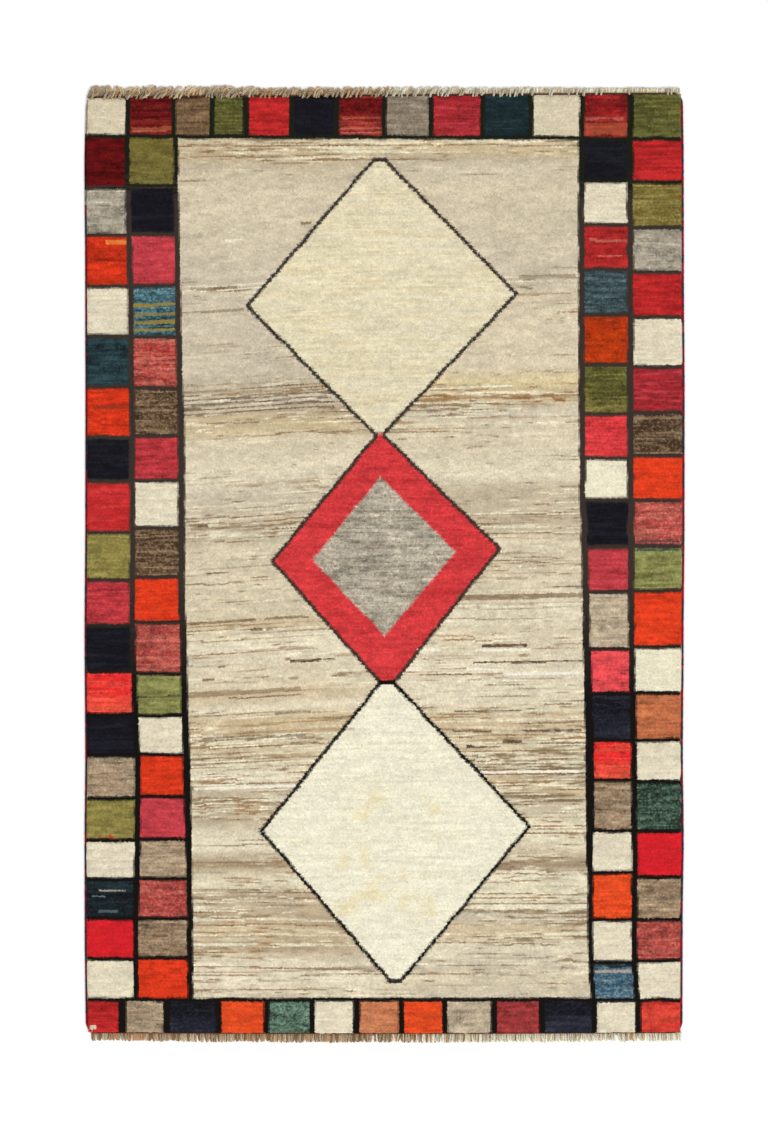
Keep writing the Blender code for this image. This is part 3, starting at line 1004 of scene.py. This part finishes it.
def make_pile(material):
    """The cut ends of the knots, about two to a knot, in bands from left to right."""
    rng = np.random.default_rng(19)
    along = (np.arange(TUFT_ROWS) + 0.5) / TUFT_ROWS * 2 - 1
    across = (np.arange(TUFT_COLUMNS) + 0.5) / TUFT_COLUMNS * 2 - 1
    along, across = (grid.ravel() for grid in np.meshgrid(along, across, indexing="ij"))
    count = len(across)
    x, level = placed(across, along)
    y = level - row_lift(x, level)
    colour = wool_colours(x, y) * (1 + rng.normal(0, SHADE_SPREAD, (count, 1)))
    turn = rng.uniform(0, TURN, (count, 1))
    angle = turn + np.arange(TUFT_SIDES) * TURN / TUFT_SIDES
    shift = rng.uniform(-TUFT_SHIFT, TUFT_SHIFT, (count, 2))
    tip = shift + rng.normal(0, TUFT_SHIFT, (count, 2)) - (0, NAP_LEAN)
    height = PILE_TOP + swell(x, y) - rim_drop(x, y) + rng.normal(0, HEIGHT_SPREAD, count)
    less = rng.uniform(-OVERHANG_SPREAD, 0, (count, 1))
    points = np.empty((count, TUFT_SIDES + 1, 3))
    points[:, :-1, 0] = x[:, None] + shift[:, :1] + ROOT_RADIUS * np.cos(angle)
    points[:, :-1, 1] = y[:, None] + shift[:, 1:] + ROOT_RADIUS * np.sin(angle)
    points[:, :-1, 2] = ROOT_HEIGHT
    points[:, -1, 0] = x + tip[:, 0]
    points[:, -1, 1] = y + tip[:, 1]
    points[:, -1, 2] = height
    point_x, point_y = points[:, :, 0], points[:, :, 1]
    left = side_x(-1, point_y) - (OVERHANG_LEFT + less)
    right = side_x(1, point_y) + (OVERHANG_RIGHT + less)
    points[:, :, 0] = np.clip(point_x, left, right)
    bottom = end_y(-1, point_x) - (OVERHANG_BOTTOM + less)
    top = end_y(1, point_x) + (OVERHANG_TOP + less)
    points[:, :, 1] = np.clip(point_y, bottom, top)
    # Roots darker than tips: painted shade down between the tufts.
    painted_shades = np.array([ROOT_PAINTED_SHADE] * TUFT_SIDES + [1.0])
    colours = colour[:, None, :] * painted_shades[None, :, None]
    column = np.tile(np.arange(TUFT_COLUMNS), TUFT_ROWS)
    row = np.repeat(np.arange(TUFT_ROWS), TUFT_COLUMNS)
    band_width = TUFT_COLUMNS // PILE_BANDS
    fold = TUFT_ROWS // 2
    ring = np.arange(TUFT_SIDES)
    flanks = np.stack([ring, (ring + 1) % TUFT_SIDES, 0 * ring + TUFT_SIDES], axis=1)
    for band in range(PILE_BANDS):
        inside = column // band_width == band
        cell = np.stack([
            column[inside] % band_width + row[inside] // fold * band_width, row[inside] % fold,
        ], axis=1)
        cells = (cell[:, None, :] + np.array(UV_CORNERS)) / (2 * band_width, fold)
        first = np.arange(inside.sum())[:, None, None] * (TUFT_SIDES + 1)
        mesh = mesh_from(
            f"pile_band_{band + 1}", points[inside].reshape(-1, 3),
            [(first + flanks).reshape(-1, 3)], colours[inside].reshape(-1, 3),
            cells=cells.reshape(-1, 2),
        )
        add_piece(mesh.name, mesh, material)


def side_directions(paths):
    """Two directions square to each path at each of its places."""
    tangent = np.gradient(paths, axis=1)
    tangent /= np.linalg.norm(tangent, axis=2, keepdims=True)
    beside = np.cross(tangent, (0.02, 0.0, 1.0))
    beside /= np.linalg.norm(beside, axis=2, keepdims=True)
    return beside, np.cross(beside, tangent)


def tubes(paths, radii, sides):
    """Closed tubes along many paths: places (tube, ring, 3), radii (tube, ring)."""
    count, rings = radii.shape
    beside, above = side_directions(paths)
    angle = np.arange(sides) * TURN / sides
    spoke = np.cos(angle)[:, None] * beside[:, :, None] + np.sin(angle)[:, None] * above[:, :, None]
    points = paths[:, :, None] + radii[:, :, None, None] * spoke
    number = np.arange(count * rings * sides).reshape(count, rings, sides)
    after = np.roll(number, -1, axis=2)
    walls = np.stack([
        number[:, :-1], number[:, 1:], after[:, 1:], after[:, :-1],
    ], axis=-1).reshape(-1, 4)
    caps = np.concatenate([number[:, 0], number[:, -1, ::-1]])
    return points.reshape(-1, 3), [walls, caps]


# Side cords: wool wrapped round the outer warps, in runs of turns of one wool.
SIDE_CORDS = table(
    "name node side diameter plain_above seed",
    ("overcast_left", "selvedge_left", -1, 0.0044, 0.735, 3),
    ("overcast_right", "selvedge_right", 1, 0.0064, 2.0, 5),
)
WRAP_PITCH = 0.0034
WRAP_SIDES = 8
WRAP_SLANT = 0.0022
CORD_GAP = 0.0003
CORD_INSET = 0.004
CORD_TAPER = 0.016
THINNEST = 0.45
BULGE_SPREAD = 0.05
DARK_SHARE = 0.48
LONGEST_RUN = 3
PILE_BESIDE = 0.004
# Where the cord is plain it takes the pile's wool at 0.8: painted shade on the rug's side.
PLAIN_CORD_PAINTED_SHADE = 0.8
CORD_SHADES = (0.8, 1.15)
# Each turn is darker at its two ends (third column): painted shade in the creases between turns.
WRAP_RINGS = table(
    "place bulge shade",
    (0.12, 0.8, 0.6),
    (0.5, 1.1, 1.0),
    (0.88, 0.8, 0.6),
)


def make_side_cord(cord, material):
    rng = np.random.default_rng(cord.seed)
    radius = cord.diameter / 2
    edge_x = cord.side * HALF_WIDTH
    low_y = end_y(-1, edge_x) + CORD_INSET
    high_y = end_y(1, edge_x) - CORD_INSET
    body_low, body_high = end_y(-1, edge_x), end_y(1, edge_x)
    turns = round((high_y - low_y) / WRAP_PITCH)
    turn = np.repeat(np.arange(turns), len(WRAP_RINGS))
    places, bulges, painted_shades = (np.tile(column, turns) for column in zip(*WRAP_RINGS))
    y = low_y + (turn + places) * (high_y - low_y) / turns
    along = 2 * (y - body_low) / (body_high - body_low) - 1
    outline_x = placed(np.full(len(y), float(cord.side)), along)[0]
    to_end = np.minimum(y - body_low, body_high - y)
    thick = THINNEST + (1 - THINNEST) * eased((to_end - CORD_INSET) / CORD_TAPER)
    bulge = thick * bulges * (1 + rng.normal(0, BULGE_SPREAD, turns))[turn]
    x = outline_x + cord.side * (CORD_GAP + radius * thick)
    paths = np.stack([x, y, radius * thick], axis=1)[None]
    points, faces = tubes(paths, (radius * bulge)[None], WRAP_SIDES)
    slant = np.tile(np.sin(np.arange(WRAP_SIDES) * TURN / WRAP_SIDES), len(y))
    points[:, 1] += cord.side * WRAP_SLANT / 2 * slant
    points[:, 2] = np.maximum(points[:, 2], 0)
    crimson, navy = linear("crimson"), linear("slate_navy")
    dark = np.zeros(turns, bool)
    place = 0
    while place < turns:
        run = int(rng.integers(1, LONGEST_RUN + 1))
        dark[place:place + run] = rng.random() < DARK_SHARE
        place += run
    wools = np.where(dark[:, None], navy, crimson)
    heights = low_y + np.arange(turns) * (high_y - low_y) / turns
    pile = wool_colours(side_x(cord.side, heights) - cord.side * PILE_BESIDE, heights)
    # Plain cord: the pile's wool darkened as painted shade on the rug's side.
    wools = np.where((heights > cord.plain_above)[:, None], pile * PLAIN_CORD_PAINTED_SHADE, wools)
    wools = wools * rng.uniform(*CORD_SHADES, (turns, 1))
    # The ends of each turn take painted shade.
    colours = np.repeat(wools[turn] * painted_shades[:, None], WRAP_SIDES, axis=0)
    mesh = mesh_from(cord.name, points, faces, colours)
    piece = add_piece(cord.name, mesh, material)
    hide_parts(cord.node)


# Fringes. Each row of three runs from the left to the middle to the right of the rug: lengths from
# the body's end edge to the tips, how much a lock curls, how high it arches and how far it leans.
FRINGES = table(
    "name node end lengths insets locks ply curl lift lean over tones pale_from pale_by seed",
    (
        "fringe_top_yarn", "fringe_top", 1,
        (0.0235, 0.0180, 0.0130), (-0.003, 0.003), 460, 0.0016,
        (1.0, 0.75, 0.25), (0.0030, 0.0020, 0.0005), (0.60, 0.40, 0.10), 0.35,
        ("umber", "tan", "camel", "straw", "umber", "tan"), 0.00, 0.10, 11,
    ),
    (
        "fringe_bottom_yarn", "fringe_bottom", -1,
        (0.0195, 0.0215, 0.0200), (0.006, -0.002), 420, 0.0014,
        (0.35, 0.30, 0.40), (0.0006, 0.0006, 0.0008), (0.04, -0.04, 0.05), 0.0,
        ("umber", "brown", "camel", "umber", "brown", "tan"), 0.10, 0.30, 23,
    ),
)
PLIES = 2
PLY_OFFSET = 0.7
TWIST_PITCH = 0.0085
LOCK_RINGS = 8
LEAST_REACH = 0.6
REACH_SPREAD = (-0.0018, 0.0006)
HEADING_SPREAD = 0.28
BEND = (0.8, 2.6)
LOCK_START = 0.0012
LOCK_JITTER = 0.0009
CLUMP_REACH = 0.0010
LOWER_SHORTER = 0.2
FURTHEST_BACK = -0.005
PAST_SIDE = 0.004
LOW_LIFT = 1.8
HIGH_LIFT = 1.6
PLY_THICKNESSES = (0.85, 1.15)
YARN_SHADES = (0.82, 1.12)
PALE_SHADES = (0.72, 0.94)
MOST_PALE = 0.96
TIP_TAPER = 0.25
START_OVER_PILE = (0.001, 0.005)
FALL_LENGTH = 0.006
FALL_LENGTH_OVER_PILE = 0.013
PLY_SIDES = 4
STRIP_HEIGHT = 0.0032
STRIP_PROFILE = (
    (0.0003, 0.0), (0.0003, 0.9), (0.0018, 1.0), (0.0034, 0.95), (0.007, 0.4), (0.007, 0.0),
)
STRIP_COLUMNS = 700
STRIP_RIB = 0.16
# The strip's wool at 0.45: painted shade in the gaps under the locks.
STRIP_PAINTED_SHADE = 0.45


def across_rug(values, x):
    """A value that eases from the left one to the middle one to the right one."""
    left, middle, right = values
    share = np.clip(x / HALF_WIDTH, -1, 1)
    to_right = eased(share)
    to_left = eased(-share)
    return middle + (right - middle) * to_right + (left - middle) * to_left


def lock_paths(fringe, x, rng):
    """The middle line of each lock of warp ends, bending one way as it runs out to its tip."""
    count = len(x)
    t = np.linspace(0, 1, LOCK_RINGS)[None]
    curl = across_rug(fringe.curl, x)[:, None]
    upper = (np.arange(count) % 2 == 1)[:, None]
    curled = curl[:, 0]
    reach = across_rug(fringe.lengths, x) + rng.uniform(*REACH_SPREAD, count) * (0.3 + curled)
    clump = patch_noise(x, 0 * x, 0.022, 1.0, fringe.seed)
    reach = reach + (CLUMP_REACH + CLUMP_REACH * curled) * clump
    reach = reach * np.where(upper[:, 0], 1.0, 1 - LOWER_SHORTER * curled)
    lean = across_rug(fringe.lean, x) * np.clip((x + HALF_WIDTH) / 0.03, -0.4, 1)
    heading = lean[:, None] + curl * rng.normal(0, HEADING_SPREAD, (count, 1))
    side = np.where(rng.random((count, 1)) < 0.5, -1, 1)
    bend = curl * np.where(upper, side * rng.uniform(*BEND, (count, 1)), 0.5 * side)
    angle = heading + bend * (t - 0.45)
    steps = np.stack([np.sin(angle), np.cos(angle)], axis=-1)
    line = np.cumsum(steps, axis=1) - steps[:, :1]
    furthest = np.maximum(line[:, :, 1].max(axis=1), LEAST_REACH * (LOCK_RINGS - 1))
    line *= (reach / furthest)[:, None, None]
    starts_over = rng.random((count, 1)) < fringe.over * curl
    start = np.where(starts_over, -rng.uniform(*START_OVER_PILE, (count, 1)), LOCK_START)
    out = np.maximum(start + line[:, :, 1] * (1 - start / reach[:, None]), FURTHEST_BACK)
    high = np.where(starts_over, PILE_TOP + fringe.ply * HIGH_LIFT, STRIP_HEIGHT + fringe.ply)
    low = fringe.ply * LOW_LIFT
    arch = across_rug(fringe.lift, x)[:, None] * rng.uniform(0.1, 1, (count, 1))
    fall = 1 - eased(out / np.where(starts_over, FALL_LENGTH_OVER_PILE, FALL_LENGTH))
    z = low + (high - low) * fall + arch * np.sin(math.pi * unit(t * 1.1))
    furthest_x = HALF_WIDTH + PAST_SIDE
    path_x = np.clip(x[:, None] + line[:, :, 0], -furthest_x, furthest_x)
    return np.stack([path_x, end_y(fringe.end, x)[:, None] + fringe.end * out, z], axis=-1), t


def lock_colours(fringe, x, rng):
    """Undyed brown to cream at the left, paler to the right, in clumps of alike locks."""
    count = len(x)
    tones = np.array([linear(name) for name in fringe.tones])
    clump = (patch_noise(x, 0 * x, 0.016, 1.0, fringe.seed + 2) + 1) / 2 * len(tones)
    pick = np.where(rng.random(count) < 0.5, clump.astype(int), rng.integers(0, len(tones), count))
    pale = np.array([linear("cream"), linear("white"), linear("buff_cream")])
    pale = pale[rng.integers(0, len(pale), count)] * rng.uniform(*PALE_SHADES, (count, 1))
    to_pale = np.clip((x - fringe.pale_from) / fringe.pale_by + 0.5, 0, MOST_PALE)
    return np.where((rng.random(count) < to_pale)[:, None], pale, tones[pick])


def woven_strip(fringe, first_x, last_x):
    """The narrow ribbed band that holds the warps before they stand free."""
    x = np.linspace(first_x, last_x, STRIP_COLUMNS)
    rib = 1 + STRIP_RIB * np.cos(np.arange(STRIP_COLUMNS) * math.pi)
    rows = [
        np.stack([
            x, end_y(fringe.end, x) + fringe.end * out,
            STRIP_HEIGHT * high * (rib if row % 2 else 2 - rib),
        ], axis=1)
        for row, (out, high) in enumerate(STRIP_PROFILE)
    ]
    points = np.stack(rows, axis=1)
    number = np.arange(STRIP_COLUMNS * len(rows)).reshape(STRIP_COLUMNS, len(rows))
    after = np.roll(number, -1, axis=1)
    around = np.stack([number[:-1], after[:-1], after[1:], number[1:]], axis=-1).reshape(-1, 4)
    ends = np.stack([number[0, ::-1], number[-1]])
    if fringe.end > 0:
        around, ends = around[:, ::-1], ends[:, ::-1]
    brown = np.tile(linear("camel"), (STRIP_COLUMNS, 1))
    # Darkened as painted shade under the locks.
    tone = mixed(brown, linear("cream"), across_rug((0.0, 0.3, 0.9), x)) * STRIP_PAINTED_SHADE
    return points.reshape(-1, 3), [around, ends], np.repeat(tone, len(rows), axis=0)


def make_fringe(fringe, material):
    rng = np.random.default_rng(fringe.seed)
    low_x = fringe.insets[0] - HALF_WIDTH + fringe.ply * 2
    high_x = HALF_WIDTH - fringe.insets[1] - fringe.ply * 2
    count = fringe.locks
    x = np.linspace(low_x, high_x, count) + rng.uniform(-LOCK_JITTER, LOCK_JITTER, count)
    core, t = lock_paths(fringe, x, rng)
    beside, above = side_directions(core)
    colour = lock_colours(fringe, x, rng)
    turn = rng.uniform(0, TURN, (count, 1))
    length = np.linalg.norm(np.diff(core, axis=1), axis=2).sum(axis=1)[:, None]
    taper = 1 - TIP_TAPER * unit((t - 0.75) / 0.25) ** 2
    # Each lock darker at the root and lighter at the tip: painted shade near the pile and painted
    # light at the tips.
    painted_shading = np.interp(t[0], [0, 0.35, 1], [0.65, 1.05, 1.2])
    paths, radii, tones = [], [], []
    for ply in range(PLIES):
        around = turn + TURN * (length * t / TWIST_PITCH + ply / PLIES)
        offset = np.cos(around)[..., None] * beside + np.sin(around)[..., None] * above
        paths.append(core + PLY_OFFSET * fringe.ply * offset)
        radii.append(fringe.ply * taper * rng.uniform(*PLY_THICKNESSES, (count, 1)))
        yarn = colour * rng.uniform(*YARN_SHADES, (count, 1))
        tones.append(yarn[:, None, :] * painted_shading[None, :, None])
    points, faces = tubes(np.concatenate(paths), np.concatenate(radii), PLY_SIDES)
    points[:, 2] = np.maximum(points[:, 2], 0)
    colours = np.repeat(np.concatenate(tones).reshape(-1, 3), PLY_SIDES, axis=0)
    strip = woven_strip(fringe, low_x + fringe.ply, high_x - fringe.ply)
    strip_points, strip_faces, strip_colours = strip
    faces += [group + len(points) for group in strip_faces]
    points = np.concatenate([points, strip_points])
    colours = np.concatenate([colours, strip_colours])
    mesh = mesh_from(fringe.name, points, faces, colours)
    piece = add_piece(fringe.name, mesh, material)
    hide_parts(fringe.node)


# The line of two yarns twined round each other where the pile ends.
TWINE_RADIUS = 0.0007
TWINE_PITCH = 0.0056
TWINE_RINGS_A_TURN = 4
TWINE_SIDES = 4
TWINE_OUT = 0.0016
TWINE_HEIGHT = 0.0074
TWINE_SWING = 0.0008
TWINE_WANDER = 0.0004
TWINE_SHADES = (0.8, 1.2)
TWINE_INSET_LEFT = 0.012
TWINE_INSET_RIGHT = 0.010


def make_twining(end, seed, material):
    rng = np.random.default_rng(seed)
    low_x, high_x = -HALF_WIDTH + TWINE_INSET_LEFT, HALF_WIDTH - TWINE_INSET_RIGHT
    rings = round((high_x - low_x) / TWINE_PITCH * TWINE_RINGS_A_TURN)
    x = np.linspace(low_x, high_x, rings)
    wander = TWINE_WANDER * patch_noise(x, 0 * x, 0.02, 1.0, seed)
    paths, tones = [], []
    for ply in range(PLIES):
        around = TURN * (x - low_x) / TWINE_PITCH + ply * math.pi
        y = end_y(end, x) + end * (TWINE_OUT + wander) + TWINE_SWING * np.cos(around)
        z = TWINE_HEIGHT + TWINE_SWING * np.sin(around)
        paths.append(np.stack([x, y, z], axis=1))
        tones.append(np.full((rings, 3), linear("madder") if ply else linear("dark_brown")))
    points, faces = tubes(np.stack(paths), np.full((PLIES, rings), TWINE_RADIUS), TWINE_SIDES)
    colours = np.concatenate(tones) * rng.uniform(*TWINE_SHADES, (PLIES * rings, 1))
    name = "twined_line_top" if end > 0 else "twined_line_bottom"
    mesh = mesh_from(name, points, faces, np.repeat(colours, TWINE_SIDES, axis=0))
    add_piece(name, mesh, material)


# Looks. Every wool takes its colour from its piece and its fibres from fine noise.
WOOL_LOOKS = table(
    "name fibre_scale fibre_depth darkest lightest sheen stretch",
    ("pile_wool", 420.0, 0.0004, 0.88, 1.1, 0.04, (1.0, 1.0, 1.0)),
    ("back_wool", 260.0, 0.0008, 0.7, 1.05, 0.04, (1.0, 1.4, 1.0)),
    ("cord_wool", 700.0, 0.0004, 0.8, 1.15, 0.06, (1.0, 1.0, 1.0)),
    ("yarn_wool", 650.0, 0.0005, 0.78, 1.15, 0.06, (1.0, 1.0, 1.0)),
)
ROUGHNESS = 0.92
SPECULAR = 0.08
SHEEN_ROUGHNESS = 0.5
FLOOR_HALF_SIZE = 20.0
FLOOR_DROP = 0.0004
FLOOR_COLOUR = (0.95, 0.95, 0.95, 1)
FLOOR_ROUGHNESS = 0.8


def node(tree, kind, **inputs):
    made = tree.nodes.new(kind)
    for key, value in inputs.items():
        made.inputs[key.replace("_", " ")].default_value = value
    return made


def wool_material(looks):
    """Matte wool: the piece's own colours, mottled and roughened by fibres."""
    material = bpy.data.materials.new(looks.name)
    material.use_nodes = True
    tree = material.node_tree
    shader = tree.nodes["Principled BSDF"]
    shader.inputs["Roughness"].default_value = ROUGHNESS
    shader.inputs["Specular IOR Level"].default_value = SPECULAR
    shader.inputs["Sheen Weight"].default_value = looks.sheen
    shader.inputs["Sheen Roughness"].default_value = SHEEN_ROUGHNESS
    colour = tree.nodes.new("ShaderNodeAttribute")
    colour.attribute_name = "wool"
    place = tree.nodes.new("ShaderNodeTexCoord")
    mapping = node(tree, "ShaderNodeMapping", Scale=looks.stretch)
    fibres = node(tree, "ShaderNodeTexNoise", Scale=looks.fibre_scale, Detail=3.0, Roughness=0.6)
    range_node = node(
        tree, "ShaderNodeMapRange", From_Min=0.3, From_Max=0.7,
        To_Min=looks.darkest, To_Max=looks.lightest,
    )
    scaled = tree.nodes.new("ShaderNodeVectorMath")
    scaled.operation = "SCALE"
    bump = node(tree, "ShaderNodeBump", Strength=0.5, Distance=looks.fibre_depth)
    links = tree.links
    links.new(place.outputs["Object"], mapping.inputs["Vector"])
    links.new(mapping.outputs["Vector"], fibres.inputs["Vector"])
    links.new(fibres.outputs["Fac"], range_node.inputs["Value"])
    links.new(colour.outputs["Color"], scaled.inputs[0])
    links.new(range_node.outputs["Result"], scaled.inputs["Scale"])
    links.new(scaled.outputs["Vector"], shader.inputs["Base Color"])
    links.new(fibres.outputs["Fac"], bump.inputs["Height"])
    links.new(bump.outputs["Normal"], shader.inputs["Normal"])
    return material


def make_floor():
    mesh = bpy.data.meshes.new("floor")
    corners = ((-1, -1), (1, -1), (1, 1), (-1, 1))
    points = [(x * FLOOR_HALF_SIZE, y * FLOOR_HALF_SIZE, -FLOOR_DROP) for x, y in corners]
    mesh.from_pydata(points, [], [(0, 1, 2, 3)])
    material = bpy.data.materials.new("pale_floor")
    material.use_nodes = True
    shader = material.node_tree.nodes["Principled BSDF"]
    shader.inputs["Base Color"].default_value = FLOOR_COLOUR
    shader.inputs["Roughness"].default_value = FLOOR_ROUGHNESS
    mesh.materials.append(material)
    floor = add_object("floor", mesh)


# The camera looks straight down. One pixel of the photograph is this many metres at the pile's top.
PHOTO_PIXEL = 0.00205
PHOTO_HEIGHT = 1129
PHOTO_MIDDLE = 564.5
ORIGIN_ROW = 564.0
LENS = 100.0
SENSOR = 36.0

# Soft light from all round, and a broad sun from the lower right.
WORLD_STRENGTH = 0.71
SUN_STRENGTH = 1.91
SUN_BREADTH = 40
SUN_FROM = (0.45, -0.75, 1.0)


def make_camera():
    height = PHOTO_HEIGHT * PHOTO_PIXEL
    data = bpy.data.cameras.new("camera")
    data.lens = LENS
    data.sensor_fit = "VERTICAL"
    data.sensor_height = SENSOR
    camera = add_object("camera", data)
    distance = height * LENS / SENSOR
    camera.location = (0, (ORIGIN_ROW - PHOTO_MIDDLE) * PHOTO_PIXEL, PILE_TOP + distance)
    bpy.context.scene.camera = camera


def make_light():
    scene = bpy.context.scene
    world = bpy.data.worlds.new("studio")
    world.use_nodes = True
    background = world.node_tree.nodes["Background"]
    background.inputs["Color"].default_value = (1, 1, 1, 1)
    background.inputs["Strength"].default_value = WORLD_STRENGTH
    scene.world = world
    data = bpy.data.lights.new("window", "SUN")
    data.energy = SUN_STRENGTH
    data.angle = math.radians(SUN_BREADTH)
    sun = add_object("window", data)
    sun.rotation_euler = Vector(SUN_FROM).to_track_quat("Z", "Y").to_euler()
    scene.view_settings.view_transform = "Standard"
    scene.view_settings.look = "None"


make_camera()
pile_wool, back_wool, cord_wool, yarn_wool = (wool_material(looks) for looks in WOOL_LOOKS)
make_cloth(back_wool)
make_pile(pile_wool)
for side_cord in SIDE_CORDS:
    make_side_cord(side_cord, cord_wool)
for end_fringe in FRINGES:
    make_fringe(end_fringe, yarn_wool)
make_twining(1, 61, cord_wool)
make_twining(-1, 67, cord_wool)
make_floor()
make_light()
